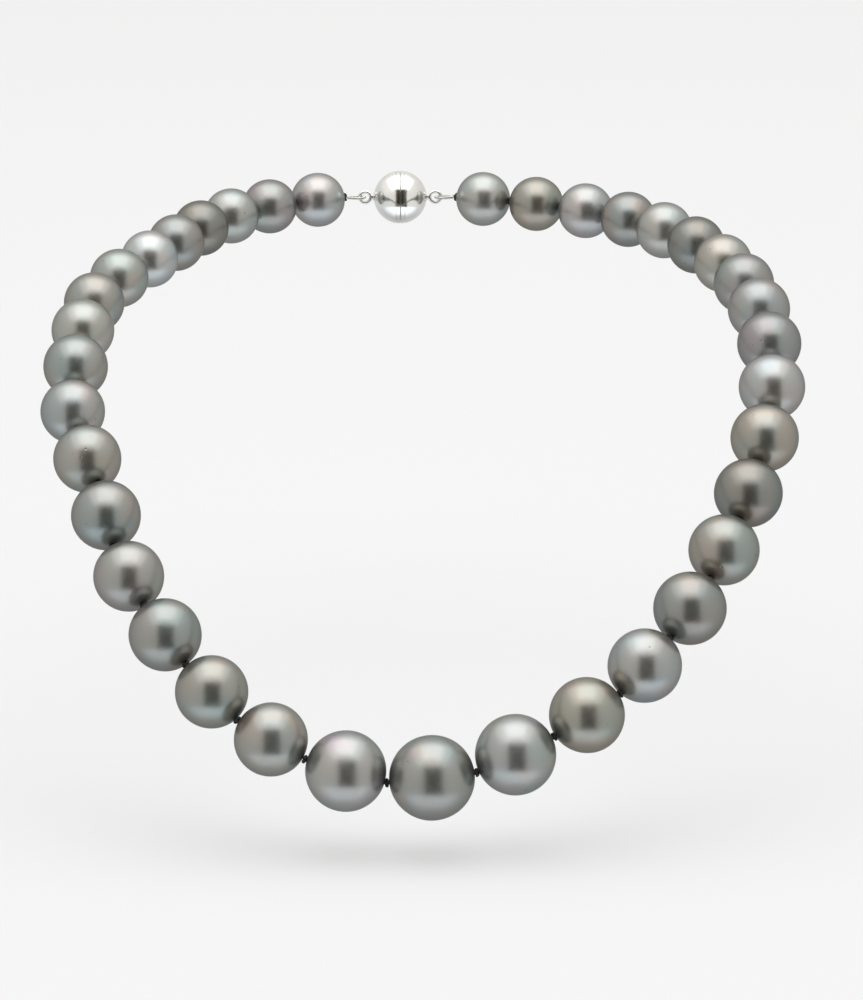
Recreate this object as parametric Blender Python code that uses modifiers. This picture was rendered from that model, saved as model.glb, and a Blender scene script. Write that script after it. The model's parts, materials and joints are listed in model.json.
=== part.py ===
"""Graduated pearl necklace, knotted on silk thread, with a two-part magnetic ball clasp.

The necklace is modelled as it lies round a neck.  The origin is the middle of the neck
opening at the height of the nape, +Z is up, the front hangs towards -Y and the clasp lies
at the back, towards +Y.  Left and right are the -X and +X sides.

The strand is a chain of rigid links.  Each pearl is one link, and the strand bends only at
the knots between pearls, so the knots lie on the strand's route and every pearl sits midway
between its two knots.
"""
from math import asin, cos, pi, sin

import bmesh
import bpy
from mathutils import Matrix, Vector

MM = 0.001

# Driving dimensions, in millimetres.
CENTRE_PEARL = 13.2
LEFT_PEARLS = (12.5, 11.4, 11.3, 11.3, 11.0, 10.9, 10.7, 10.2, 10.4,
               10.1, 9.8, 9.6, 9.4, 9.4, 9.3, 9.3, 9.2, 9.2)
RIGHT_PEARLS = (12.5, 11.7, 11.5, 11.4, 11.1, 10.8, 10.8, 10.6, 10.3,
                10.1, 9.9, 9.6, 9.5, 9.4, 9.3, 9.3, 9.2, 9.2)
PEARL_GAP = 0.65
DRILL_RADIUS = 0.5
THREAD_RADIUS = 0.35
KNOT_RADIUS = 0.64
KNOT_HALF_LENGTH = 0.25
THREAD_END_INSET = 0.3

CLASP_RADIUS = 4.5
CLASP_HALF_GAP = 0.15
CUP_RADIUS = 2.95
CUP_DEPTH = 2.75
RIM_CHAMFER = 0.2
MAGNET_RADIUS = 2.6
MAGNET_BACK = 2.45
SOCKET_MAGNET_FACE = 1.25
PLUG_MAGNET_FACE = -0.85
MAGNET_BEVEL = 0.2
RING_MAJOR = 0.95
RING_MINOR = 0.28
RING_GAP = 0.25
GIMP_RADIUS = 0.27
GIMP_BEND_RADIUS = 0.85
GIMP_MOUTH_HALF_WIDTH = 0.34
GIMP_MOUTH_GAP = 0.5

# The strand's route round the neck, in millimetres, as a closed loop that starts at the
# clasp and goes down the left side, across the front and up the right side.
ROUTE = (
    (-5.2, 73.7, 0.0), (-24.8, 67.8, 0.0), (-37.7, 51.2, 0.0), (-45.8, 31.0, -1.1),
    (-51.3, 21.6, -2.2), (-56.6, 2.0, -6.5), (-55.6, -8.5, -8.7), (-58.7, -18.0, -16.0),
    (-53.2, -27.2, -18.6), (-51.3, -35.7, -27.3), (-41.7, -50.3, -41.6), (-25.4, -60.3, -56.2),
    (-12.8, -62.2, -60.9), (0.0, -63.2, -62.5), (13.5, -61.2, -57.8), (25.3, -57.2, -52.5),
    (40.8, -45.5, -38.2), (49.8, -29.9, -24.5), (54.2, -11.8, -12.0), (52.8, 8.5, -4.2),
    (48.3, 27.7, -1.6), (40.6, 43.6, 0.0), (29.4, 59.0, 0.0), (15.0, 68.6, 0.0),
)
FRONT_POINT = 13
STEPS_PER_POINT = 60

# Pearls on each rigid length of strand, counted outwards from the centre pearl's neighbours.
SEGMENT_PEARLS = (3, 3, 3, 3, 3, 2)

PEARL_SIDES = 16
PEARL_RINGS = 8
SHELL_RINGS = 8
TURNED_SIDES = 28
RING_SIDES = 18
GIMP_LEG_STEPS = 5
GIMP_BEND_STEPS = 12

PEARL_TONES = {
    "pearl_silver_blue": (0.40, 0.44, 0.46),
    "pearl_silver_green": (0.38, 0.42, 0.38),
    "pearl_grey_green": (0.28, 0.32, 0.28),
    "pearl_taupe": (0.33, 0.31, 0.28),
    "pearl_mauve": (0.34, 0.31, 0.33),
    "pearl_champagne": (0.41, 0.37, 0.31),
    "pearl_olive": (0.29, 0.28, 0.21),
    "pearl_graphite": (0.27, 0.27, 0.27),
}
PEARL_ROUGHNESS = 0.22
# Colour, roughness and metallic value.
OTHER_FINISHES = {
    "silk_thread": ((0.02, 0.02, 0.02), 0.7, 0.0),
    "white_gold": ((0.78, 0.77, 0.74), 0.15, 1.0),
    "plated_magnet": ((0.60, 0.60, 0.60), 0.3, 1.0),
    "gimp_wire": ((0.70, 0.69, 0.66), 0.35, 1.0),
}
CENTRE_TONE = "pearl_grey_green"
LEFT_TONES = ("mauve", "taupe", "olive", "grey_green", "mauve", "grey_green", "champagne",
              "silver_blue", "grey_green", "silver_green", "champagne", "silver_green",
              "silver_blue", "taupe", "graphite", "silver_green", "mauve", "silver_blue")
RIGHT_TONES = ("silver_green", "olive", "silver_blue", "taupe", "olive", "graphite",
               "champagne", "silver_blue", "mauve", "silver_blue", "mauve", "champagne",
               "graphite", "silver_green", "taupe", "silver_blue", "olive", "silver_green")


def clear_scene():
    for old in list(bpy.data.objects):
        bpy.data.objects.remove(old, do_unlink=True)


def new_collection(name):
    collection = bpy.data.collections.new(name)
    bpy.context.scene.collection.children.link(collection)
    return collection


def new_material(name, colour, roughness, metallic):
    material = bpy.data.materials.new(name)
    material.use_nodes = True
    shader = material.node_tree.nodes["Principled BSDF"]
    shader.inputs["Base Color"].default_value = (*colour, 1.0)
    shader.inputs["Roughness"].default_value = roughness
    shader.inputs["Metallic"].default_value = metallic
    return material


# ---------------------------------------------------------------- the strand's route

def route_tangent(before, here, after):
    """The direction through a route point, leaning towards its nearer neighbour."""
    back, ahead = here - before, after - here
    leaning = back.normalized() * ahead.length + ahead.normalized() * back.length
    return leaning / (back.length + ahead.length)


def smooth_route(points, steps):
    """Points along a smooth closed curve through the route's own points."""
    points = [Vector(point) for point in points]
    count = len(points)
    samples = []
    for index in range(count):
        before, start, end, after = (points[(index + shift) % count] for shift in (-1, 0, 1, 2))
        reach = (end - start).length
        leave = route_tangent(before, start, end) * reach
        arrive = route_tangent(start, end, after) * reach
        for step in range(steps):
            t = step / steps
            samples.append(start * (2 * t ** 3 - 3 * t ** 2 + 1) + leave * (t ** 3 - 2 * t ** 2 + t)
                           + end * (3 * t ** 2 - 2 * t ** 3) + arrive * (t ** 3 - t ** 2))
    return samples


def walk(route, index, step, start, lengths):
    """Points along the route, each a straight-line length from the one before it."""
    places = []
    for length in lengths:
        while (route[(index + step) % len(route)] - start).length < length:
            index += step
        inner, outer = route[index % len(route)], route[(index + step) % len(route)]
        near, far = (inner - start).length, (outer - start).length
        start = inner.lerp(outer, (length - near) / (far - near))
        places.append(start)
    return places


def knot_places():
    """The knots on the left and on the right, counted outwards from the centre pearl."""
    route = smooth_route(ROUTE, STEPS_PER_POINT)
    front = FRONT_POINT * STEPS_PER_POINT
    half_link = (CENTRE_PEARL + PEARL_GAP) / 2
    first_left = walk(route, front, -1, route[front], [half_link])[0]
    left_links = [size + PEARL_GAP for size in LEFT_PEARLS]
    right_links = [size + PEARL_GAP for size in (CENTRE_PEARL, *RIGHT_PEARLS)]
    left = [first_left] + walk(route, front - 1, -1, first_left, left_links)
    right = walk(route, front, 1, first_left, right_links)
    return left, right


# ---------------------------------------------------------------- shapes

def link_to(collection, piece, parent, place, direction=None):
    """Put a piece at a world place in millimetres, its local Z along a direction."""
    collection.objects.link(piece)
    piece.parent = parent
    piece.location = (place - Vector(parent["hinge_mm"])) * MM
    if direction is not None:
        piece.rotation_mode = "QUATERNION"
        piece.rotation_quaternion = direction.to_track_quat("Z", "Y")


def turned_piece(name, profile, closed, sides, material):
    """A solid turned about local Z from (radius, height) points, outer side top to bottom."""
    mesh = bpy.data.meshes.new(name)
    count = len(profile)
    edges = [(index, (index + 1) % count) for index in range(count if closed else count - 1)]
    mesh.from_pydata([(radius * MM, 0.0, height * MM) for radius, height in profile], edges, [])
    mesh.materials.append(material)
    piece = bpy.data.objects.new(name, mesh)
    screw = piece.modifiers.new("turn", "SCREW")
    screw.axis = "Z"
    screw.steps = sides
    screw.render_steps = sides
    screw.use_merge_vertices = True
    screw.merge_threshold = 0.000001
    screw.use_smooth_shade = True
    return piece


def tube(name, points, radius, radius_factors, material):
    """A closed round tube along points in millimetres, with its own radius at each point."""
    curve = bpy.data.curves.new(name, "CURVE")
    curve.dimensions = "3D"
    curve.bevel_depth = radius * MM
    curve.bevel_resolution = 2
    curve.use_fill_caps = True
    spline = curve.splines.new("POLY")
    spline.points.add(len(points) - 1)
    for target, point, factor in zip(spline.points, points, radius_factors):
        target.co = (*(point * MM), 1.0)
        target.radius = factor
    curve.materials.append(material)
    return bpy.data.objects.new(name, curve)


def pearl(name, diameter, material):
    """A drilled round pearl, its drill hole along local Z."""
    radius = diameter / 2
    mouth = asin(DRILL_RADIUS / radius)
    profile = []
    for ring in range(PEARL_RINGS + 1):
        angle = mouth + (pi - 2 * mouth) * ring / PEARL_RINGS
        profile.append((radius * sin(angle), radius * cos(angle)))
    return turned_piece(name, profile, True, PEARL_SIDES, material)


# Along a knot: distance from its middle over its half length, and radius over its own.
KNOT_SHAPE = ((-1.0, None), (-0.6, 0.8), (0.0, 1.0), (0.6, 0.8), (1.0, None))


def thread_run(knots, first_is_free, origin):
    """The points and radius factors of a thread with a knot at each place after the first.

    A thread whose first place is another thread's knot starts just inside the drill hole
    beyond that knot; the root thread starts with a knot of its own.
    """
    points, factors = [], []
    for index, knot in enumerate(knots):
        before = knots[index - 1] if index else None
        after = knots[index + 1] if index + 1 < len(knots) else None
        if index == 0 and not first_is_free:
            start = knot + (after - knot).normalized() * (PEARL_GAP / 2 + THREAD_END_INSET)
            points.append(start - origin)
            factors.append(1.0)
            continue
        inward = (knot - before).normalized() if before else (after - knot).normalized()
        outward = (after - knot).normalized() if after else inward
        for along, swell in KNOT_SHAPE:
            way = inward if along < 0 else outward
            points.append(knot + way * along * KNOT_HALF_LENGTH - origin)
            factors.append(swell * KNOT_RADIUS / THREAD_RADIUS if swell else 1.0)
    return points, factors


def clasp_shell(name, material):
    """Half of a ball with a round cup in its flat side, the ball's pole along local Z."""
    start = asin(CLASP_HALF_GAP / CLASP_RADIUS)
    profile = []
    for step in range(SHELL_RINGS + 1):
        angle = pi / 2 - (pi / 2 - start) * step / SHELL_RINGS
        profile.append((CLASP_RADIUS * cos(angle), CLASP_RADIUS * sin(angle)))
    profile.append((CUP_RADIUS + RIM_CHAMFER, CLASP_HALF_GAP))
    profile.append((CUP_RADIUS, CLASP_HALF_GAP + RIM_CHAMFER))
    profile.append((CUP_RADIUS, CUP_DEPTH))
    profile.append((0.0, CUP_DEPTH))
    return turned_piece(name, profile, False, TURNED_SIDES, material)


def magnet(name, face, material):
    """A disc magnet whose front face lies at a height along local Z from the ball's middle."""
    mesh = bpy.data.meshes.new(name)
    shape = bmesh.new()
    bmesh.ops.create_cone(shape, cap_ends=True, segments=TURNED_SIDES, radius1=MAGNET_RADIUS * MM,
                          radius2=MAGNET_RADIUS * MM, depth=(MAGNET_BACK - face) * MM)
    bmesh.ops.translate(shape, verts=shape.verts, vec=(0.0, 0.0, (MAGNET_BACK + face) / 2 * MM))
    shape.to_mesh(mesh)
    shape.free()
    mesh.shade_smooth()
    mesh.set_sharp_from_angle(angle=pi / 6)
    mesh.materials.append(material)
    piece = bpy.data.objects.new(name, mesh)
    bevel = piece.modifiers.new("edge", "BEVEL")
    bevel.width = MAGNET_BEVEL * MM
    bevel.segments = 1
    return piece


def end_ring(name, material):
    """A round wire ring standing in the local YZ plane."""
    bpy.ops.mesh.primitive_torus_add(major_radius=RING_MAJOR * MM, minor_radius=RING_MINOR * MM,
                                     major_segments=RING_SIDES, minor_segments=8)
    piece = bpy.context.object
    piece.name = name
    piece.data.name = name
    piece.data.transform(Matrix.Rotation(pi / 2, 4, "Y"))
    piece.data.shade_smooth()
    piece.data.materials.append(material)
    for holder in list(piece.users_collection):
        holder.objects.unlink(piece)
    return piece


def gimp_loop(name, knot, bend_centre, material):
    """The wire-covered loop: two legs from the end knot, bent round the ring's wire."""
    away = (knot - bend_centre).normalized()
    across = Vector((0.0, 0.0, 1.0)).cross(away).normalized()
    leg_end = (knot - bend_centre).length - GIMP_MOUTH_GAP
    outline = []
    for step in range(GIMP_LEG_STEPS):
        part = step / GIMP_LEG_STEPS
        widening = (GIMP_BEND_RADIUS - GIMP_MOUTH_HALF_WIDTH) * sin(part * pi / 2)
        outline.append((leg_end * (1 - part), GIMP_MOUTH_HALF_WIDTH + widening))
    for step in range(GIMP_BEND_STEPS + 1):
        angle = pi / 2 - pi * step / GIMP_BEND_STEPS
        outline.append((-GIMP_BEND_RADIUS * cos(angle), GIMP_BEND_RADIUS * sin(angle)))
    outline += [(along, -side) for along, side in reversed(outline[:GIMP_LEG_STEPS])]
    points = [away * along + across * side for along, side in outline]
    return tube(name, points, GIMP_RADIUS, [1.0] * len(points), material)


# ---------------------------------------------------------------- the assembly

def hinge_empty(collection, name, place, parent=None):
    """An empty on a hinge's axis, which carries the rigid length of strand beyond it."""
    empty = bpy.data.objects.new(name, None)
    empty.empty_display_size = 0.004
    empty["hinge_mm"] = tuple(place)
    collection.objects.link(empty)
    if parent is not None:
        empty.parent = parent
        empty.location = (place - Vector(parent["hinge_mm"])) * MM
    else:
        empty.location = place * MM
    return empty


def add_pearl(collection, name, diameter, tone, knots, parent, materials):
    piece = pearl(name, diameter, materials[tone])
    link_to(collection, piece, parent, (knots[0] + knots[1]) / 2, knots[1] - knots[0])


def add_thread(collection, name, knots, first_is_free, parent, materials):
    origin = Vector(parent["hinge_mm"])
    points, factors = thread_run(knots, first_is_free, origin)
    piece = tube(name, points, THREAD_RADIUS, factors, materials["silk_thread"])
    link_to(collection, piece, parent, origin)


def add_side(collection, side, knots, sizes, tones, root, materials):
    """One side of the strand beyond the front length; returns the last length's empty."""
    add_pearl(collection, f"pearl_{side}_01", sizes[0], "pearl_" + tones[0], knots[0:2],
              root, materials)
    first, parent = 1, root
    for number, count in enumerate(SEGMENT_PEARLS, start=1):
        parent = hinge_empty(collection, f"hinge_{side}_{number}", knots[first], parent)
        for index in range(first, first + count):
            add_pearl(collection, f"pearl_{side}_{index + 1:02d}", sizes[index],
                      "pearl_" + tones[index], knots[index:index + 2], parent, materials)
        add_thread(collection, f"thread_{side}_{number}", knots[first:first + count + 1],
                   False, parent, materials)
        first += count
    return parent


def add_clasp_half(collection, side, kind, centre, way, knot, strand_end, face, materials):
    """One half of the ball clasp, its ring, and the gimp loop that ties the strand to it."""
    ring_centre = centre + way * (CLASP_RADIUS + RING_GAP + RING_MAJOR + RING_MINOR)
    bend_centre = ring_centre + way * RING_MAJOR
    hinge = hinge_empty(collection, f"hinge_clasp_{side}", bend_centre, strand_end)
    link_to(collection, clasp_shell(f"clasp_{kind}_shell", materials["white_gold"]), hinge,
            centre, way)
    link_to(collection, magnet(f"clasp_{kind}_magnet", face, materials["plated_magnet"]), hinge,
            centre, way)
    link_to(collection, end_ring(f"clasp_ring_{side}", materials["white_gold"]), hinge,
            ring_centre, way)
    gimp = gimp_loop(f"gimp_{side}", knot, bend_centre, materials["gimp_wire"])
    link_to(collection, gimp, strand_end, bend_centre)


def build():
    clear_scene()
    collection = new_collection("pearl_necklace")
    materials = {}
    for name, colour in PEARL_TONES.items():
        materials[name] = new_material(name, colour, PEARL_ROUGHNESS, 0.0)
    for name, finish in OTHER_FINISHES.items():
        materials[name] = new_material(name, *finish)

    left, right = knot_places()
    front_centre = (left[0] + right[0]) / 2
    root = hinge_empty(collection, "front", front_centre)
    add_pearl(collection, "pearl_centre", CENTRE_PEARL, CENTRE_TONE, (left[0], right[0]),
              root, materials)
    add_thread(collection, "thread_front", [left[1], left[0], right[0], right[1]], True,
               root, materials)
    left_end = add_side(collection, "left", left, LEFT_PEARLS, LEFT_TONES, root, materials)
    right_end = add_side(collection, "right", right, RIGHT_PEARLS, RIGHT_TONES, root, materials)

    centre = (left[-1] + right[-1]) / 2
    along = (right[-1] - left[-1]).normalized()
    add_clasp_half(collection, "left", "socket", centre, -along, left[-1], left_end,
                   SOCKET_MAGNET_FACE, materials)
    add_clasp_half(collection, "right", "plug", centre, along, right[-1], right_end,
                   PLUG_MAGNET_FACE, materials)
    bpy.context.view_layer.update()


build()
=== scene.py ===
"""The looks of the graduated pearl necklace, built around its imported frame."""
import json
from math import asin, cos, pi, radians, sin

import bpy
import numpy as np
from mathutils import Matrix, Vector, noise


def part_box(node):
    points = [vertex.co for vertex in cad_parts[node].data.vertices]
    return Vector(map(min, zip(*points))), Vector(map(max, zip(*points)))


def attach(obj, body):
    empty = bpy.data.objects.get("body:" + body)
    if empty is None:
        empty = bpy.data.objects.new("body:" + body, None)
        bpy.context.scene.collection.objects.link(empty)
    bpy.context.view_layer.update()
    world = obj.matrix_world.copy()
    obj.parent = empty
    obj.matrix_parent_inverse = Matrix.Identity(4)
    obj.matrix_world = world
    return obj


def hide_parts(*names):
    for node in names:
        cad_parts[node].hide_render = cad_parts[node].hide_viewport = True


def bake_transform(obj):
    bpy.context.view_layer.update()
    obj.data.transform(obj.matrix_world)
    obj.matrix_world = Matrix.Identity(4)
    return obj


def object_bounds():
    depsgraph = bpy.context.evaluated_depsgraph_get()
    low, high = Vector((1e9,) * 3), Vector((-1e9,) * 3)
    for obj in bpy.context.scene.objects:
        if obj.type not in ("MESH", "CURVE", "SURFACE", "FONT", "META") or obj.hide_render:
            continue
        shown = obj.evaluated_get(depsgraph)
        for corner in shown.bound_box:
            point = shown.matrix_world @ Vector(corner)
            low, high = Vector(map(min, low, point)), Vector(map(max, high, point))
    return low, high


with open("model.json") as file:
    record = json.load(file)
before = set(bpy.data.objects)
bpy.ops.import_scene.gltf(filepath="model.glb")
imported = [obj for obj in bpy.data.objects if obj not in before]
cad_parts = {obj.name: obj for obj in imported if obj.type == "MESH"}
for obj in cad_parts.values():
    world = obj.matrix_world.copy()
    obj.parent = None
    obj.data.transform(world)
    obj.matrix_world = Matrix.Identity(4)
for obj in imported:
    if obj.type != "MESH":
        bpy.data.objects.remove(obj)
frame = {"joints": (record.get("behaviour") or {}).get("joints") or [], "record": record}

CAD_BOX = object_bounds()
MM = 0.001
UP = Vector((0.0, 0.0, 1.0))

# The same sizes as the frame's solids, in millimetres.
PEARL_GAP = 0.65
DRILL_RADIUS = 0.5
CLASP_RADIUS = 4.5
CUP_RADIUS = 2.95
CUP_DEPTH = 2.75
MAGNET_RADIUS = 2.6
RING_MINOR = 0.28
RING_MAJOR = 0.95
GIMP_BEND_RADIUS = 0.85

SIDES = ("left", "right")
SEGMENT_PEARLS = (3, 3, 3, 3, 3, 2)
CLASP_HALVES = {"left": "socket", "right": "plug"}


# ---------------------------------------------------------------- camera, light and floor

CAMERA_DISTANCE = 1.0
CAMERA_ELEVATION = radians(15.0)
CAMERA_TARGET = Vector((-0.0001, -0.0520, -0.0202))
CAMERA_LENS = 235.1
FLOOR_DROP = 0.006
FLOOR_GLOW = 0.45
FLOOR_RINGS = (0.0, 0.2, 0.5, 1.2, 3.0, 8.0, 20.0)
FLOOR_SIDES = 96
# Each softbox faces straight down: its name, place, size, radiance and colour.
SOFTBOXES = (
    ("softbox_wide", (0.0, 0.0, 1.00), (1.90, 1.70), 0.76, (0.99, 1.0, 1.03)),
    ("softbox_middle", (0.0, -0.015, 0.98), (0.90, 0.98), 1.10, (0.98, 1.0, 1.04)),
)


def towards_camera():
    return Vector((0.0, -cos(CAMERA_ELEVATION), sin(CAMERA_ELEVATION)))


def make_camera():
    data = bpy.data.cameras.new("camera")
    data.lens = CAMERA_LENS
    data.sensor_fit = "AUTO"
    data.sensor_width = 36.0
    data.clip_start = 0.01
    data.clip_end = 50.0
    camera = bpy.data.objects.new("camera", data)
    camera.location = CAMERA_TARGET + towards_camera() * CAMERA_DISTANCE
    camera.rotation_euler = (pi / 2 - CAMERA_ELEVATION, 0.0, 0.0)
    bpy.context.scene.collection.objects.link(camera)
    bpy.context.scene.camera = camera


def area_light(name, place, size, radiance, colour):
    """A rectangular light that faces the floor below it."""
    data = bpy.data.lights.new(name, "AREA")
    data.shape = "RECTANGLE"
    data.size, data.size_y = size
    data.energy = radiance * pi * size[0] * size[1]
    data.color = colour
    light = bpy.data.objects.new(name, data)
    light.location = place
    light.rotation_mode = "QUATERNION"
    light.rotation_quaternion = UP.to_track_quat("Z", "Y")
    light.visible_camera = False
    bpy.context.scene.collection.objects.link(light)


def make_lighting():
    """Two overhead softboxes, the smaller one for a bright middle, inside a pale studio."""
    for softbox in SOFTBOXES:
        area_light(*softbox)
    make_studio_air()
    bpy.context.scene.view_settings.view_transform = "Standard"
    bpy.context.scene.view_settings.look = "None"


# ---------------------------------------------------------------- mesh building

def mesh_piece(name, vertices, faces, material, smooth_angle=None):
    """A mesh object from vertices in metres; a smooth angle keeps sharper edges crisp."""
    mesh = bpy.data.meshes.new(name)
    mesh.from_pydata([tuple(vertex) for vertex in vertices], [], faces)
    mesh.validate()
    mesh.shade_smooth()
    if smooth_angle is not None:
        mesh.set_sharp_from_angle(angle=smooth_angle)
    mesh.materials.append(material)
    piece = bpy.data.objects.new(name, mesh)
    bpy.context.scene.collection.objects.link(piece)
    return piece


def grid_faces(rows, columns, rows_close):
    """Quads over a grid whose columns always close; rows close too on a torus-like grid."""
    faces = []
    for row in range(rows if rows_close else rows - 1):
        below = row * columns
        above = ((row + 1) % rows) * columns
        for column in range(columns):
            after = (column + 1) % columns
            faces.append((below + column, below + after, above + after, above + column))
    return faces


# A profile point nearer to the axis than this becomes one vertex.
ON_AXIS = 1e-9


def turned(profile, sides, closed=False):
    """Vertices and faces of a profile of (radius, height) turned about Z."""
    vertices, faces = [], []
    rings = []
    for radius, height in profile:
        if radius < ON_AXIS:
            rings.append([len(vertices)])
            vertices.append((0.0, 0.0, height))
            continue
        rings.append(list(range(len(vertices), len(vertices) + sides)))
        for side in range(sides):
            angle = 2 * pi * side / sides
            vertices.append((radius * cos(angle), radius * sin(angle), height))
    pairs = list(zip(rings, rings[1:] + rings[:1])) if closed else list(zip(rings, rings[1:]))
    for upper, lower in pairs:
        for side in range(sides):
            after = (side + 1) % sides
            if len(upper) == 1:
                faces.append((upper[0], lower[side], lower[after]))
            elif len(lower) == 1:
                faces.append((upper[side], lower[0], upper[after]))
            else:
                faces.append((upper[side], lower[side], lower[after], upper[after]))
    return vertices, faces


def smooth_path(points, step):
    """Evenly spaced points along a rounded curve through the given points."""
    points = [Vector(point) for point in points]
    samples = []
    count = len(points)
    for index in range(count - 1):
        before = points[max(index - 1, 0)]
        start, end = points[index], points[index + 1]
        after = points[min(index + 2, count - 1)]
        pieces = max(2, round((end - start).length / step))
        for piece in range(pieces):
            t = piece / pieces
            samples.append(0.5 * ((2 * start) + (end - before) * t
                                  + (2 * before - 5 * start + 4 * end - after) * t ** 2
                                  + (3 * start - before - 3 * end + after) * t ** 3))
    samples.append(points[-1])
    return samples


def taut_path(points, step):
    """Evenly spaced points along a thread pulled straight from place to place."""
    samples = []
    for start, end in zip(points, points[1:]):
        pieces = max(2, round((end - start).length / step))
        samples += [start.lerp(end, piece / pieces) for piece in range(pieces)]
    return samples + [points[-1]]


def path_frames(path, closed=False):
    """A direction, a side and an over vector at each point of a path, without twist."""
    count = len(path)
    frames = []
    side = None
    for index in range(count):
        if closed:
            ahead = (path[(index + 1) % count] - path[index - 1]).normalized()
        else:
            ahead = (path[min(index + 1, count - 1)] - path[max(index - 1, 0)]).normalized()
        if side is None:
            side = ahead.orthogonal().normalized()
        side = (side - ahead * side.dot(ahead)).normalized()
        frames.append((ahead, side, ahead.cross(side)))
    return frames


def tube_mesh(path, radius, sides, closed=False):
    """Vertices and faces of a round tube along a path; an open path gets closed ends."""
    vertices = []
    for point, (ahead, side, over) in zip(path, path_frames(path, closed)):
        for corner in range(sides):
            angle = 2 * pi * corner / sides
            vertices.append(point + (side * cos(angle) + over * sin(angle)) * radius)
    faces = grid_faces(len(path), sides, closed)
    if not closed:
        faces.append(tuple(reversed(range(sides))))
        last = (len(path) - 1) * sides
        faces.append(tuple(last + corner for corner in range(sides)))
    return vertices, faces


def helix(path, radius, pitch, phase, steps_per_turn):
    """A path wound round another path."""
    frames = path_frames(path)
    wound, travelled = [], 0.0
    for index, (point, (ahead, side, over)) in enumerate(zip(path, frames)):
        if index:
            stretch = (point - path[index - 1]).length
            pieces = max(1, round(stretch / pitch * steps_per_turn))
            for piece in range(1, pieces + 1):
                part = piece / pieces
                angle = phase + 2 * pi * (travelled + stretch * part) / pitch
                middle = path[index - 1].lerp(point, part)
                last_side, last_over = frames[index - 1][1], frames[index - 1][2]
                way = last_side.lerp(side, part) * cos(angle) + last_over.lerp(over, part) * sin(angle)
                wound.append(middle + way.normalized() * radius)
            travelled += stretch
        else:
            wound.append(point + (side * cos(phase) + over * sin(phase)) * radius)
    return wound


# ---------------------------------------------------------------- materials

# Where a colour mix node takes its two colours and gives its result.
MIX_FIRST = 6
MIX_SECOND = 7
MIX_RESULT = 2


class Nodes:
    """A short way to write a node material, or the studio's surroundings."""

    def __init__(self, name, world=False):
        self.material = (bpy.data.worlds if world else bpy.data.materials).new(name)
        self.material.use_nodes = True
        self.tree = self.material.node_tree
        self.shader = self.tree.nodes["Background" if world else "Principled BSDF"]

    def set(self, **values):
        for key, value in values.items():
            self.shader.inputs[key.replace("_", " ").title().replace("Ior", "IOR")].default_value = value

    def add(self, kind, **settings):
        node = self.tree.nodes.new(kind)
        for key, value in settings.items():
            setattr(node, key, value)
        return node

    def link(self, source, target):
        self.tree.links.new(source, target)

    def coordinates(self, offset):
        place = self.add("ShaderNodeTexCoord")
        mapping = self.add("ShaderNodeMapping")
        mapping.inputs["Location"].default_value = offset
        self.link(place.outputs["Object"], mapping.inputs["Vector"])
        return mapping.outputs["Vector"]

    def noise(self, vector, scale, detail=2.0, roughness=0.5, distortion=0.0):
        node = self.add("ShaderNodeTexNoise")
        node.inputs["Scale"].default_value = scale
        node.inputs["Detail"].default_value = detail
        node.inputs["Roughness"].default_value = roughness
        node.inputs["Distortion"].default_value = distortion
        self.link(vector, node.inputs["Vector"])
        return node.outputs["Fac"]

    def voronoi(self, vector, scale):
        node = self.add("ShaderNodeTexVoronoi")
        node.inputs["Scale"].default_value = scale
        self.link(vector, node.inputs["Vector"])
        return node

    def spread(self, value, low, high, out_low, out_high):
        node = self.add("ShaderNodeMapRange", interpolation_type="SMOOTHSTEP")
        self.link(value, node.inputs["Value"])
        for key, number in (("From Min", low), ("From Max", high), ("To Min", out_low),
                            ("To Max", out_high)):
            node.inputs[key].default_value = number
        return node.outputs["Result"]

    def mix(self, factor, first, second):
        node = self.add("ShaderNodeMix", data_type="RGBA")
        self.link(factor, node.inputs["Factor"])
        for key, colour in ((MIX_FIRST, first), (MIX_SECOND, second)):
            if isinstance(colour, tuple):
                node.inputs[key].default_value = (*colour, 1.0)
            else:
                self.link(colour, node.inputs[key])
        return node.outputs[MIX_RESULT]

    def math(self, operation, first, second):
        node = self.add("ShaderNodeMath", operation=operation)
        for key, value in ((0, first), (1, second)):
            if isinstance(value, (int, float)):
                node.inputs[key].default_value = value
            else:
                self.link(value, node.inputs[key])
        return node.outputs[0]

    def dot(self, vector, direction):
        node = self.add("ShaderNodeVectorMath", operation="DOT_PRODUCT")
        self.link(vector, node.inputs[0])
        node.inputs[1].default_value = direction
        return node.outputs["Value"]

    def ramp(self, value, stops):
        node = self.add("ShaderNodeValToRGB")
        node.color_ramp.interpolation = "EASE"
        for _ in range(len(stops) - 2):
            node.color_ramp.elements.new(0.5)
        for element, (place, colour) in zip(node.color_ramp.elements, stops):
            element.position = place
            element.color = (*colour, 1.0)
        self.link(value, node.inputs["Fac"])
        return node.outputs["Color"]

    def bump(self, height, strength, distance, normal=None):
        node = self.add("ShaderNodeBump")
        node.inputs["Strength"].default_value = strength
        node.inputs["Distance"].default_value = distance
        self.link(height, node.inputs["Height"])
        if normal is not None:
            self.link(normal, node.inputs["Normal"])
        return node.outputs["Normal"]


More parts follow.
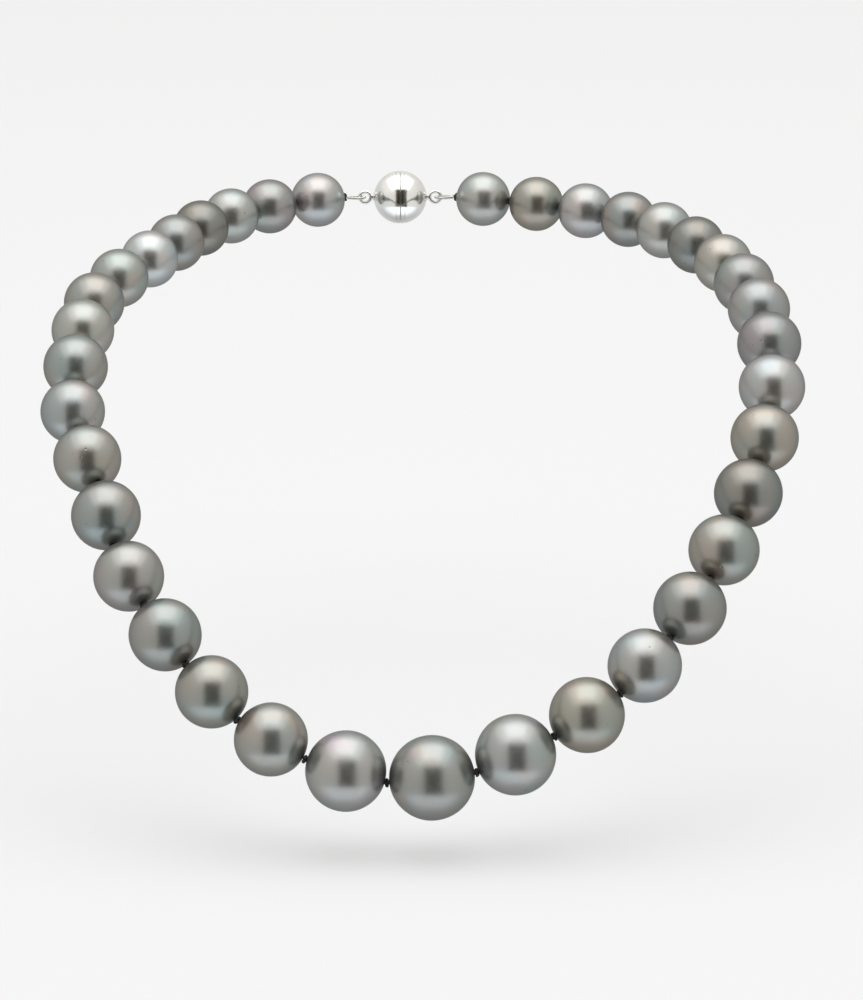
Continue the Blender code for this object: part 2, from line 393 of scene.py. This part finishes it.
# Each tone's body colour, the overtone that clouds it and the tint of its second cloud.
PEARL_TONES = {
    "pearl_silver_blue": ((0.355, 0.355, 0.340), (0.318, 0.360, 0.372), (0.390, 0.350, 0.334)),
    "pearl_silver_green": ((0.348, 0.340, 0.318), (0.310, 0.350, 0.326), (0.378, 0.342, 0.304)),
    "pearl_grey_green": ((0.285, 0.286, 0.272), (0.246, 0.290, 0.287), (0.318, 0.284, 0.256)),
    "pearl_taupe": ((0.278, 0.272, 0.253), (0.248, 0.274, 0.272), (0.312, 0.270, 0.240)),
    "pearl_mauve": ((0.298, 0.294, 0.279), (0.314, 0.279, 0.291), (0.272, 0.303, 0.284)),
    "pearl_champagne": ((0.311, 0.304, 0.274), (0.342, 0.300, 0.250), (0.280, 0.310, 0.296)),
    "pearl_olive": ((0.296, 0.285, 0.254), (0.266, 0.292, 0.266), (0.328, 0.280, 0.236)),
    "pearl_graphite": ((0.225, 0.216, 0.193), (0.200, 0.220, 0.212), (0.252, 0.215, 0.180)),
}
# How light each pearl is beside others of its tone, from the middle of the strand outwards.
CENTRE_LIGHTNESS = 1.02
LIGHTNESS = {
    "left": (1.14, 1.10, 1.01, 0.98, 1.03, 0.98, 0.99, 0.90, 1.02, 1.00, 0.94, 0.93, 1.17,
             0.98, 0.95, 1.00, 0.97, 1.02),
    "right": (0.97, 1.01, 0.93, 0.94, 1.01, 1.01, 0.94, 0.99, 0.88, 0.84, 0.92, 1.07,
              0.98, 1.00, 0.94, 0.99, 0.96, 1.01),
}
# How much warmer, or cooler below nought, each pearl is than its tone, in the same order.
CENTRE_WARMTH = 0.01
WARMTH = {
    "left": (0.00, 0.03, -0.02, 0.02, 0.02, 0.02, -0.03, 0.03, 0.02, 0.01, -0.05, 0.01, 0.01,
             0.00, 0.02, -0.01, 0.01, 0.00),
    "right": (-0.03, 0.03, 0.02, 0.02, -0.02, 0.00, 0.00, 0.00, -0.01, 0.01, 0.00, -0.03,
              0.00, -0.02, 0.01, 0.00, 0.02, -0.01),
}
NACRE_METALLIC = 0.85
NACRE_ROUGHNESS = 0.315
NACRE_EDGE = (0.42, 0.42, 0.42, 1.0)
CLOUD_SCALE = 120.0
SECOND_CLOUD_SCALE = 165.0
BLEMISH_SCALE = 400.0
BLEMISH_SHADE = (0.09, 0.085, 0.075)
BLEMISH_STRENGTH = 0.35
BLEMISH_DEPTH = 0.00003
SHEEN_SCALE = 700.0
WAVE_SCALE = 420.0
WAVE_DEPTH = 0.000012
GRAIN_SCALE = 3200.0
GRAIN_DEPTH = 0.0000010
# How far each pearl's patterns lie from the next one's, in metres.
PATTERN_SHIFT = (0.037, 0.051, 0.029)


def nacre_material(name, tone, lightness, warmth, seed):
    """Silky nacre: clouded overtones, a fine waviness and a few pin-prick blemishes."""
    shift = (lightness * (1 + warmth), lightness, lightness * (1 - warmth))
    body, overtone, tint = (tuple(part * share for part, share in zip(colour, shift))
                            for colour in PEARL_TONES[tone])
    nodes = Nodes(name)
    nodes.set(metallic=NACRE_METALLIC, specular_tint=NACRE_EDGE)
    place = nodes.coordinates(tuple(step * seed for step in PATTERN_SHIFT))
    cloud = nodes.noise(place, CLOUD_SCALE, roughness=0.45, distortion=0.5)
    second = nodes.noise(place, SECOND_CLOUD_SCALE, roughness=0.45, distortion=0.3)
    colour = nodes.mix(nodes.spread(cloud, 0.36, 0.68, 0.0, 0.9), body, overtone)
    colour = nodes.mix(nodes.spread(second, 0.44, 0.70, 0.0, 0.7), colour, tint)

    cells = nodes.voronoi(place, BLEMISH_SCALE)
    chosen = nodes.spread(cells.outputs["Color"], 0.55, 0.57, 0.0, 1.0)
    inside = nodes.spread(cells.outputs["Distance"], 0.03, 0.10, 1.0, 0.0)
    pits = nodes.math("MULTIPLY", chosen, inside)
    colour = nodes.mix(nodes.math("MULTIPLY", pits, BLEMISH_STRENGTH), colour, BLEMISH_SHADE)
    nodes.link(colour, nodes.shader.inputs["Base Color"])

    sheen = nodes.noise(place, SHEEN_SCALE, detail=4.0, roughness=0.6)
    rough = nodes.spread(sheen, 0.3, 0.7, NACRE_ROUGHNESS - 0.025, NACRE_ROUGHNESS + 0.03)
    nodes.link(rough, nodes.shader.inputs["Roughness"])
    waves = nodes.bump(nodes.noise(place, WAVE_SCALE, detail=3.0, roughness=0.55),
                       strength=0.35, distance=WAVE_DEPTH)
    grain = nodes.bump(nodes.noise(place, GRAIN_SCALE, detail=3.0, roughness=0.6),
                       strength=0.20, distance=GRAIN_DEPTH, normal=waves)
    pricked = nodes.bump(nodes.math("SUBTRACT", 1.0, pits), strength=0.9,
                         distance=BLEMISH_DEPTH, normal=grain)
    nodes.link(pricked, nodes.shader.inputs["Normal"])
    return nodes.material


FIBRE_SCALE = 9000.0
FIBRE_DEPTH = 0.00003
SILK_DARK = (0.004, 0.004, 0.004)
SILK_LIGHT = (0.016, 0.015, 0.014)


def silk_material():
    """Black silk: fine fibres, a little sheen."""
    nodes = Nodes("black_silk")
    nodes.set(sheen_weight=0.25, sheen_roughness=0.4)
    place = nodes.coordinates((0.0, 0.0, 0.0))
    fibre = nodes.noise(place, FIBRE_SCALE, detail=4.0, roughness=0.65)
    nodes.link(nodes.mix(fibre, SILK_DARK, SILK_LIGHT), nodes.shader.inputs["Base Color"])
    nodes.link(nodes.spread(fibre, 0.3, 0.7, 0.55, 0.8), nodes.shader.inputs["Roughness"])
    nodes.link(nodes.bump(fibre, strength=0.6, distance=FIBRE_DEPTH),
               nodes.shader.inputs["Normal"])
    return nodes.material


WEAR_SCALE = 380.0
HAIRLINE_STRETCH = (1.0, 9.0, 1.0)


def metal_material(name, bright, dull, roughness, scratch_scale, bump_depth):
    """Polished metal with hairline wear and a slightly uneven polish."""
    nodes = Nodes(name)
    nodes.set(metallic=1.0)
    place = nodes.coordinates((0.013, 0.021, 0.017))
    patches = nodes.noise(place, WEAR_SCALE, detail=3.0)
    stretch = nodes.add("ShaderNodeMapping")
    stretch.inputs["Scale"].default_value = HAIRLINE_STRETCH
    nodes.link(place, stretch.inputs["Vector"])
    hairlines = nodes.noise(stretch.outputs["Vector"], scratch_scale, detail=4.0, roughness=0.7)
    nodes.link(nodes.mix(nodes.spread(patches, 0.35, 0.7, 0.0, 1.0), bright, dull),
               nodes.shader.inputs["Base Color"])
    uneven = nodes.math("ADD", nodes.spread(patches, 0.3, 0.7, 0.0, 0.05),
                        nodes.spread(hairlines, 0.4, 0.75, roughness, roughness + 0.10))
    nodes.link(uneven, nodes.shader.inputs["Roughness"])
    nodes.link(nodes.bump(hairlines, strength=0.4, distance=bump_depth), nodes.shader.inputs["Normal"])
    return nodes.material


PAPER_SCALE = 900.0
PAPER_DARK = (0.300, 0.300, 0.300)
PAPER_LIGHT = (0.312, 0.312, 0.312)


def floor_material():
    """A pale matt sheet with a faint paper tooth; a little glow keeps the shadows on it light."""
    nodes = Nodes("pale_floor")
    nodes.set(specular_ior_level=0.0, emission_color=(1.0, 1.0, 1.0, 1.0),
              emission_strength=FLOOR_GLOW)
    place = nodes.coordinates((0.0, 0.0, 0.0))
    tooth = nodes.noise(place, PAPER_SCALE, detail=4.0, roughness=0.6)
    nodes.link(nodes.mix(tooth, PAPER_DARK, PAPER_LIGHT), nodes.shader.inputs["Base Color"])
    nodes.link(nodes.spread(tooth, 0.3, 0.7, 0.75, 0.9), nodes.shader.inputs["Roughness"])
    return nodes.material


# ---------------------------------------------------------------- studio

# Each level of the studio's walls, from straight down to straight up.
FRONT_WALLS = ((0.00, (0.60, 0.61, 0.62)), (0.16, (0.86, 0.89, 0.91)), (0.36, (0.90, 0.91, 0.90)),
               (0.56, (0.98, 0.97, 0.94)), (1.00, (1.20, 1.19, 1.17)))
BACK_WALLS = ((0.00, (0.60, 0.61, 0.62)), (0.30, (0.74, 0.75, 0.75)), (0.56, (0.80, 0.80, 0.78)),
              (0.80, (1.00, 1.00, 0.98)), (1.00, (1.20, 1.19, 1.17)))
TABLE_GLOW = (0.58, 0.66, 0.75)
TABLE_TOP = -0.53
TABLE_END = -0.97
TABLE_EDGE = 0.05
GAP_MIDDLE = 0.06
GAP_HALF_WIDTH = 0.41
GAP_TOP = 0.52
GAP_BOTTOM = -0.70
GAP_EDGE = 0.04
GAP_SHADE = (0.040, 0.034, 0.020)
BACKGROUND = (0.93, 0.93, 0.93)


def make_studio_air():
    """Pale walls all round, lighter in front, with a dark gap where a photographer stands."""
    nodes = Nodes("studio", world=True)
    place = nodes.add("ShaderNodeTexCoord").outputs["Generated"]
    height = nodes.math("MULTIPLY_ADD", nodes.dot(place, (0.0, 0.0, 1.0)), 0.5)
    height.node.inputs[2].default_value = 0.5
    front = nodes.spread(nodes.dot(place, (0.0, -1.0, 0.0)), -0.6, 0.6, 0.0, 1.0)
    walls = nodes.mix(front, nodes.ramp(height, BACK_WALLS), nodes.ramp(height, FRONT_WALLS))

    level = nodes.dot(place, (0.0, 0.0, 1.0))
    glow = nodes.spread(nodes.dot(place, (0.0, -1.0, 0.0)), -0.2, 0.5, 0.0, 1.0)
    for low, high, first, last in (
            (TABLE_TOP - TABLE_EDGE, TABLE_TOP + TABLE_EDGE, 1.0, 0.0),
            (TABLE_END - TABLE_EDGE, TABLE_END + TABLE_EDGE, 0.0, 1.0)):
        glow = nodes.math("MULTIPLY", glow, nodes.spread(level, low, high, first, last))
    lit = nodes.add("ShaderNodeMix", data_type="RGBA", blend_type="ADD")
    nodes.link(glow, lit.inputs["Factor"])
    nodes.link(walls, lit.inputs[MIX_FIRST])
    lit.inputs[MIX_SECOND].default_value = (*TABLE_GLOW, 1.0)

    beside = nodes.math("SUBTRACT", nodes.dot(place, (1.0, 0.0, 0.0)), GAP_MIDDLE)
    across = nodes.math("ABSOLUTE", beside, 0.0)
    upward = nodes.dot(place, (0.0, sin(CAMERA_ELEVATION), cos(CAMERA_ELEVATION)))
    gap = nodes.spread(across, GAP_HALF_WIDTH - GAP_EDGE, GAP_HALF_WIDTH + GAP_EDGE, 1.0, 0.0)
    for value, low, high, first, last in (
            (upward, GAP_TOP - GAP_EDGE, GAP_TOP + GAP_EDGE, 1.0, 0.0),
            (upward, GAP_BOTTOM - GAP_EDGE, GAP_BOTTOM + GAP_EDGE, 0.0, 1.0),
            (nodes.dot(place, tuple(towards_camera())), 0.0, 0.1, 0.0, 1.0)):
        gap = nodes.math("MULTIPLY", gap, nodes.spread(value, low, high, first, last))
    room = nodes.mix(gap, lit.outputs[MIX_RESULT], GAP_SHADE)

    seen = nodes.add("ShaderNodeLightPath").outputs["Is Camera Ray"]
    nodes.link(nodes.mix(seen, room, BACKGROUND), nodes.shader.inputs["Color"])
    bpy.context.scene.world = nodes.material


def make_stage():
    """A wide pale floor under the necklace, left out of reflections, bounce and shadows."""
    low = CAD_BOX[0][2] - FLOOR_DROP
    vertices, faces = turned([(radius, low) for radius in FLOOR_RINGS], FLOOR_SIDES)
    floor = mesh_piece("studio_floor", vertices, faces, floor_material())
    for ray in ("glossy", "diffuse", "shadow", "transmission"):
        setattr(floor, f"visible_{ray}", False)


# ---------------------------------------------------------------- where things are

def middle(node):
    low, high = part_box(node)
    return (low + high) / 2


def joint_place(name):
    for joint in frame["joints"]:
        if joint["name"] == name:
            return Vector(joint["pos_m"])
    raise KeyError(name)


def side_knots(side):
    """The knots of one side, counted outwards: each pearl lies midway between two knots.

    The hinges stand at some of the knots, and every other knot mirrors its neighbour
    through the pearl between them.
    """
    hinges = {}
    first = 1
    for number, count in enumerate(SEGMENT_PEARLS, start=1):
        joint = f"{side}_back_lift" if number == 4 else f"{side}_knot_bend_{number}"
        hinges[first] = joint_place(joint)
        first += count
    pearls = sum(SEGMENT_PEARLS) + 1
    knots = {1: hinges[1], 0: 2 * middle(f"pearl_{side}_01") - hinges[1]}
    for index in range(2, pearls + 1):
        mirrored = 2 * middle(f"pearl_{side}_{index:02d}") - knots[index - 1]
        knots[index] = hinges.get(index, mirrored)
    return [knots[index] for index in range(pearls + 1)]


KNOTS = {side: side_knots(side) for side in SIDES}


def slot_of(node):
    for entry in frame["record"]["subparts"]:
        if entry["node"] == node:
            return entry["material_slot"]
    raise KeyError(node)


def body_of(node):
    for body, members in frame["record"]["behaviour"]["bodies"].items():
        if node in members:
            return body
    raise KeyError(node)


def finish_piece(piece, node):
    """The piece stands for one node, and takes its body from it."""
    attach(piece, body_of(node))
    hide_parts(node)


# ---------------------------------------------------------------- pearls

PEARL_SIDES = 80
PEARL_RINGS = 56
DRILL_EDGE = 0.09
EDGE_STEPS = 4
CENTRE_SEED = 1
PEARL_SEEDS = {"left": 10, "right": 50}
# How far a pearl is from round, as shares of its radius: broad swells, small swells, and a
# squash along the drill that leaves the mean size as it is.
BROAD_SWELL = 0.0045
BROAD_SWELL_SCALE = 1.4
SMALL_SWELL = 0.0012
SMALL_SWELL_SCALE = 4.0
MOST_SQUASH = 0.006
# Each pearl's swells are read from its own place in the noise, this far from nought at most.
NOISE_REACH = 50.0


def pearl_profile(radius):
    """A drilled ball's outline: outer surface, rounded drill mouth, drill wall."""
    mouth = asin((DRILL_RADIUS + DRILL_EDGE) / radius)
    outline = []
    for ring in range(PEARL_RINGS + 1):
        angle = mouth + (pi - 2 * mouth) * ring / PEARL_RINGS
        outline.append((radius * sin(angle), radius * cos(angle)))
    lip = radius * cos(mouth)
    round_off = []
    for step in range(1, EDGE_STEPS + 1):
        angle = pi / 2 * step / EDGE_STEPS
        round_off.append((DRILL_RADIUS + DRILL_EDGE * (1 - sin(angle)),
                          lip - DRILL_EDGE * (1 - cos(angle))))
    lower = [(across, -height) for across, height in round_off]
    return outline + lower + list(reversed(round_off))


def off_round(vertices, seed):
    """Small swells that keep a pearl from being a perfect ball."""
    generator = np.random.default_rng(seed)
    shift = Vector(generator.uniform(-NOISE_REACH, NOISE_REACH, 3))
    squash = generator.uniform(-MOST_SQUASH, MOST_SQUASH)
    shaped = []
    for vertex in vertices:
        way = Vector(vertex)
        unit = way.normalized()
        swell = (BROAD_SWELL * noise.noise(unit * BROAD_SWELL_SCALE + shift)
                 + SMALL_SWELL * noise.noise(unit * SMALL_SWELL_SCALE + shift))
        swell += squash * (unit.z ** 2 - 1.0 / 3.0)
        shaped.append(way * (1.0 + swell))
    return shaped


def share_in_box(vertices, place):
    """How much of its size a pearl keeps so that no swell passes the frame's own box."""
    low, high = CAD_BOX
    share = 1.0
    for axis in range(3):
        reach = [vertex[axis] for vertex in vertices]
        share = min(share, (high[axis] - place[axis]) / max(reach),
                    (low[axis] - place[axis]) / min(reach))
    return share


def make_pearl(node, first, last, lightness, warmth, seed):
    """One pearl, midway between two knots and drilled from one to the other."""
    radius = ((last - first).length / MM - PEARL_GAP) / 2
    place = (first + last) / 2
    vertices, faces = turned(pearl_profile(radius), PEARL_SIDES, closed=True)
    turn = (last - first).to_track_quat("Z", "Y")
    vertices = [turn @ vertex * MM for vertex in off_round(vertices, seed)]
    share = share_in_box(vertices, place)
    vertices = [vertex * share for vertex in vertices]
    material = nacre_material(f"nacre_{node}", slot_of(node), lightness, warmth, seed)
    piece = mesh_piece(f"{node}_nacre", vertices, faces, material)
    piece.location = place
    finish_piece(piece, node)


def make_pearls():
    make_pearl("pearl_centre", KNOTS["left"][0], KNOTS["right"][0], CENTRE_LIGHTNESS,
               CENTRE_WARMTH, CENTRE_SEED)
    for side in SIDES:
        for index in range(1, len(KNOTS[side])):
            make_pearl(f"pearl_{side}_{index:02d}", KNOTS[side][index - 1], KNOTS[side][index],
                       LIGHTNESS[side][index - 1], WARMTH[side][index - 1],
                       PEARL_SEEDS[side] + index)


# ---------------------------------------------------------------- silk thread and knots

PLY_RADIUS = 0.17
PLY_WIND = 0.17
PLY_PITCH = 1.5
PLY_COUNT = 3
PLY_SIDES = 6
PLY_STEPS_PER_TURN = 10
THREAD_STEP = 0.4
# A length of silk that starts at a hinge begins just past its knot, as a share of the way on.
PAST_KNOT = 0.05
# How many KNOT_TURNs a length's knots are turned by, with one more for each knot along it.
FRONT_TURN = 1
SIDE_TURN = 10
KNOT_LOOP = 0.56
KNOT_THICKNESS = 0.22
KNOT_DEPTH = 0.10
KNOT_STEPS = 72
KNOT_SIDES = 10
KNOT_TURN = 1.3


def add_shape(shape, vertices, faces):
    """Join a shape's vertices and faces into a growing pair of lists."""
    start = len(shape[0])
    shape[0].extend(vertices)
    shape[1].extend(tuple(start + corner for corner in face) for face in faces)


def knot_path(place, along, turn):
    """The line of a tight overhand knot whose thread runs along one direction."""
    side = along.orthogonal().normalized()
    over = along.cross(side)
    path = []
    # A trefoil, divided by 3 so that its widest places lie one KNOT_LOOP out.
    for step in range(KNOT_STEPS):
        t = 2 * pi * step / KNOT_STEPS
        across = (sin(t) + 2 * sin(2 * t)) / 3 * KNOT_LOOP * MM
        upward = (cos(t) - 2 * cos(2 * t)) / 3 * KNOT_LOOP * MM
        depth = -sin(3 * t) * KNOT_DEPTH * MM
        turned_across = across * cos(turn) - upward * sin(turn)
        turned_upward = across * sin(turn) + upward * cos(turn)
        path.append(place + side * turned_across + over * turned_upward + along * depth)
    return path


def knot_mesh(chain, index, turn):
    """The tight knot at one place of a chain of knots."""
    before = chain[index - 1] if index else chain[0]
    after = chain[index + 1] if index + 1 < len(chain) else chain[-1]
    line = knot_path(chain[index], (after - before).normalized(), turn)
    return tube_mesh(line, KNOT_THICKNESS * MM, KNOT_SIDES, closed=True)


def make_thread(node, chain, knotted, material, first_turn):
    """One length of three-ply silk through its pearls, with the knots that no joint bends."""
    shape = ([], [])
    path = taut_path(chain, THREAD_STEP * MM)
    for ply in range(PLY_COUNT):
        wound = helix(path, PLY_WIND * MM, PLY_PITCH * MM, 2 * pi * ply / PLY_COUNT,
                      PLY_STEPS_PER_TURN)
        add_shape(shape, *tube_mesh(wound, PLY_RADIUS * MM, PLY_SIDES))
    for index in knotted:
        add_shape(shape, *knot_mesh(chain, index, KNOT_TURN * (first_turn + index)))
    piece = mesh_piece(f"{node}_silk", *shape, material)
    finish_piece(piece, node)


def make_hinge_knot(side, number, index, before, material):
    """The knot at a joint, between the two lengths of silk that it joins."""
    chain = KNOTS[side]
    piece = mesh_piece(f"knot_{side}_{number}_silk",
                       *knot_mesh(chain, index, KNOT_TURN * (number + index)), material)
    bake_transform(piece)
    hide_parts(before)


def make_threads(material):
    left, right = KNOTS["left"], KNOTS["right"]
    make_thread("thread_front", [left[1], left[0], right[0], right[1]], (1, 2), material,
                FRONT_TURN)
    for side in SIDES:
        first, before = 1, "thread_front"
        for number, count in enumerate(SEGMENT_PEARLS, start=1):
            node = f"thread_{side}_{number}"
            last = first + count
            make_hinge_knot(side, number, first, before, material)
            start = KNOTS[side][first].lerp(KNOTS[side][first + 1], PAST_KNOT)
            chain = [start] + KNOTS[side][first + 1:last + 1]
            knotted = range(1, count + 1 if number == len(SEGMENT_PEARLS) else count)
            make_thread(node, chain, knotted, material, SIDE_TURN + number)
            first, before = last, node


# ---------------------------------------------------------------- clasp

SHELL_SIDES = 96
SHELL_RADIUS = 0.999 * CLASP_RADIUS
SHARP_ANGLE = radians(35.0)
SEAM = 0.03
SEAM_SHOULDER = 0.02
# The solder collar on the pole: radius, and height above the ball's own.
COLLAR = ((0.0, 0.30), (0.30, 0.28), (0.46, 0.16), (0.62, 0.02))
# The ball's own surface starts at this angle above the seam, just outside the collar.
COLLAR_EDGE = radians(80.0)
# The scored line: its angle above the seam, its depth, and half its width at the surface and
# at the bottom, both as angles.
SCORE = radians(9.0)
SCORE_DEPTH = 0.09
SCORE_TOP = 0.025
SCORE_FLOOR = 0.010
DOME_STEPS = 40
BELOW_SCORE_STEPS = 8
RIM_INSET = 0.14
RIM_ROUND = 0.10
CUP_ROUND = 0.15
ROUND_STEPS = 4

# Heights above the clasp's middle. The plug's face crosses it, into the socket's cup.
MAGNET_BACK = 2.45
MAGNET_FACES = {"socket": 1.25, "plug": -0.85}
MAGNET_ROUND = 0.22
MAGNET_ROUND_STEPS = 5

RING_STEPS = 64
RING_SIDES = 16


def arc(centre, radius, start, end, steps):
    """Points of (radius, height) along a round corner."""
    points = []
    for step in range(steps + 1):
        angle = start + (end - start) * step / steps
        points.append((centre[0] + radius * cos(angle), centre[1] + radius * sin(angle)))
    return points


def shell_profile():
    """Half of the ball: a solder collar at the pole, a scored line near the rim, the cup."""
    collar = [(radius, CLASP_RADIUS + height) for radius, height in COLLAR]
    low = asin(SEAM / CLASP_RADIUS)
    dome = []
    for start, end, steps in ((COLLAR_EDGE, SCORE + SCORE_TOP, DOME_STEPS),
                              (SCORE - SCORE_TOP, low + SEAM_SHOULDER, BELOW_SCORE_STEPS)):
        dome += arc((0.0, 0.0), SHELL_RADIUS, start, end, steps)
        if end > SCORE:
            inner = CLASP_RADIUS - SCORE_DEPTH
            dome.append((inner * cos(SCORE + SCORE_FLOOR), inner * sin(SCORE + SCORE_FLOOR)))
            dome.append((inner * cos(SCORE - SCORE_FLOOR), inner * sin(SCORE - SCORE_FLOOR)))
    rim = arc((CLASP_RADIUS - RIM_INSET, SEAM + RIM_ROUND), RIM_ROUND, -pi / 8, -pi / 2, ROUND_STEPS)
    lip = arc((CUP_RADIUS + CUP_ROUND, SEAM + CUP_ROUND), CUP_ROUND, -pi / 2, -pi, ROUND_STEPS)
    bottom = arc((CUP_RADIUS - CUP_ROUND, CUP_DEPTH - CUP_ROUND), CUP_ROUND, 0.0, pi / 2, ROUND_STEPS)
    return collar + dome + rim + lip + bottom + [(0.0, CUP_DEPTH)]


def magnet_profile(face):
    """A plated disc with rounded edges; its face looks towards the other half."""
    outer = MAGNET_RADIUS - MAGNET_ROUND
    top = arc((outer, MAGNET_BACK - MAGNET_ROUND), MAGNET_ROUND, pi / 2, 0.0, MAGNET_ROUND_STEPS)
    bottom = arc((outer, face + MAGNET_ROUND), MAGNET_ROUND, 0.0, -pi / 2, MAGNET_ROUND_STEPS)
    return [(0.0, MAGNET_BACK)] + top + bottom + [(0.0, face)]


def place_turned(name, node, profile, centre, way, material):
    """A turned piece of the clasp: its axis lies along one way through the clasp's middle."""
    vertices, faces = turned(profile, SHELL_SIDES)
    turn = way.to_track_quat("Z", "Y")
    vertices = [turn @ Vector(vertex) * MM for vertex in vertices]
    piece = mesh_piece(name, vertices, faces, material, SHARP_ANGLE)
    piece.location = centre
    finish_piece(piece, node)


def make_ring(side, centre, way, material):
    """The plain round wire ring that the gimp's loop goes through."""
    path = []
    for step in range(RING_STEPS):
        angle = 2 * pi * step / RING_STEPS
        path.append(centre + (way * cos(angle) + UP * sin(angle)) * RING_MAJOR * MM)
    vertices, faces = tube_mesh(path, RING_MINOR * MM, RING_SIDES, closed=True)
    piece = mesh_piece(f"clasp_ring_{side}_wire", vertices, faces, material)
    finish_piece(piece, f"clasp_ring_{side}")


GIMP_MOUTH_GAP = 0.5
# One leg of the loop, from the knot inwards: share of the reach, and distance from its middle.
GIMP_LEG = ((1.0, 0.34), (0.7, 0.52), (0.35, 0.76))
GIMP_BEND_STEPS = 6
GIMP_STEP = 0.08
GIMP_CORE_RADIUS = 0.13
GIMP_CORE_SIDES = 8
COIL_RADIUS = 0.20
COIL_PITCH = 0.15
COIL_STEPS_PER_TURN = 14
COIL_WIRE_RADIUS = 0.068
COIL_WIRE_SIDES = 6


def make_gimp(side, knot, bend_centre, material):
    """Fine wire wound in a close coil round the thread's loop through the ring."""
    away = (knot - bend_centre).normalized()
    across = UP.cross(away).normalized()
    reach = (knot - bend_centre).length - GIMP_MOUTH_GAP * MM
    leg = [(reach * share, width) for share, width in GIMP_LEG]
    bend = []
    for step in range(GIMP_BEND_STEPS + 1):
        angle = pi / 2 - pi * step / GIMP_BEND_STEPS
        bend.append((-GIMP_BEND_RADIUS * MM * cos(angle), GIMP_BEND_RADIUS * sin(angle)))
    outline = leg + bend + [(along, -width) for along, width in reversed(leg)]
    points = [bend_centre + away * along + across * width * MM for along, width in outline]
    path = smooth_path(points, GIMP_STEP * MM)
    shape = ([], [])
    coil = helix(path, COIL_RADIUS * MM, COIL_PITCH * MM, 0.0, COIL_STEPS_PER_TURN)
    add_shape(shape, *tube_mesh(coil, COIL_WIRE_RADIUS * MM, COIL_WIRE_SIDES))
    add_shape(shape, *tube_mesh(path, GIMP_CORE_RADIUS * MM, GIMP_CORE_SIDES))
    piece = mesh_piece(f"gimp_{side}_coil", *shape, material)
    finish_piece(piece, f"gimp_{side}")


def make_clasp():
    gold = metal_material("white_gold", (0.80, 0.79, 0.76), (0.72, 0.71, 0.68),
                          roughness=0.10, scratch_scale=2600.0, bump_depth=0.000004)
    plate = metal_material("plated_magnet", (0.62, 0.61, 0.59), (0.50, 0.50, 0.49),
                           roughness=0.22, scratch_scale=3500.0, bump_depth=0.000006)
    wire = metal_material("gimp_wire", (0.74, 0.72, 0.68), (0.60, 0.59, 0.56),
                          roughness=0.20, scratch_scale=4200.0, bump_depth=0.000003)
    pivots = {side: joint_place(f"{side}_clasp_swivel") for side in SIDES}
    centre = (pivots["left"] + pivots["right"]) / 2
    for side in SIDES:
        kind = CLASP_HALVES[side]
        way = (pivots[side] - centre).normalized()
        ring_centre = pivots[side] - way * RING_MAJOR * MM
        place_turned(f"clasp_{kind}_shell_polished", f"clasp_{kind}_shell", shell_profile(),
                     centre, way, gold)
        place_turned(f"clasp_{kind}_magnet_plated", f"clasp_{kind}_magnet",
                     magnet_profile(MAGNET_FACES[kind]), centre, way, plate)
        make_ring(side, ring_centre, way, gold)
        make_gimp(side, KNOTS[side][-1], pivots[side], wire)


# ---------------------------------------------------------------- all of it

make_camera()
make_lighting()
make_stage()
make_pearls()
make_threads(silk_material())
make_clasp()
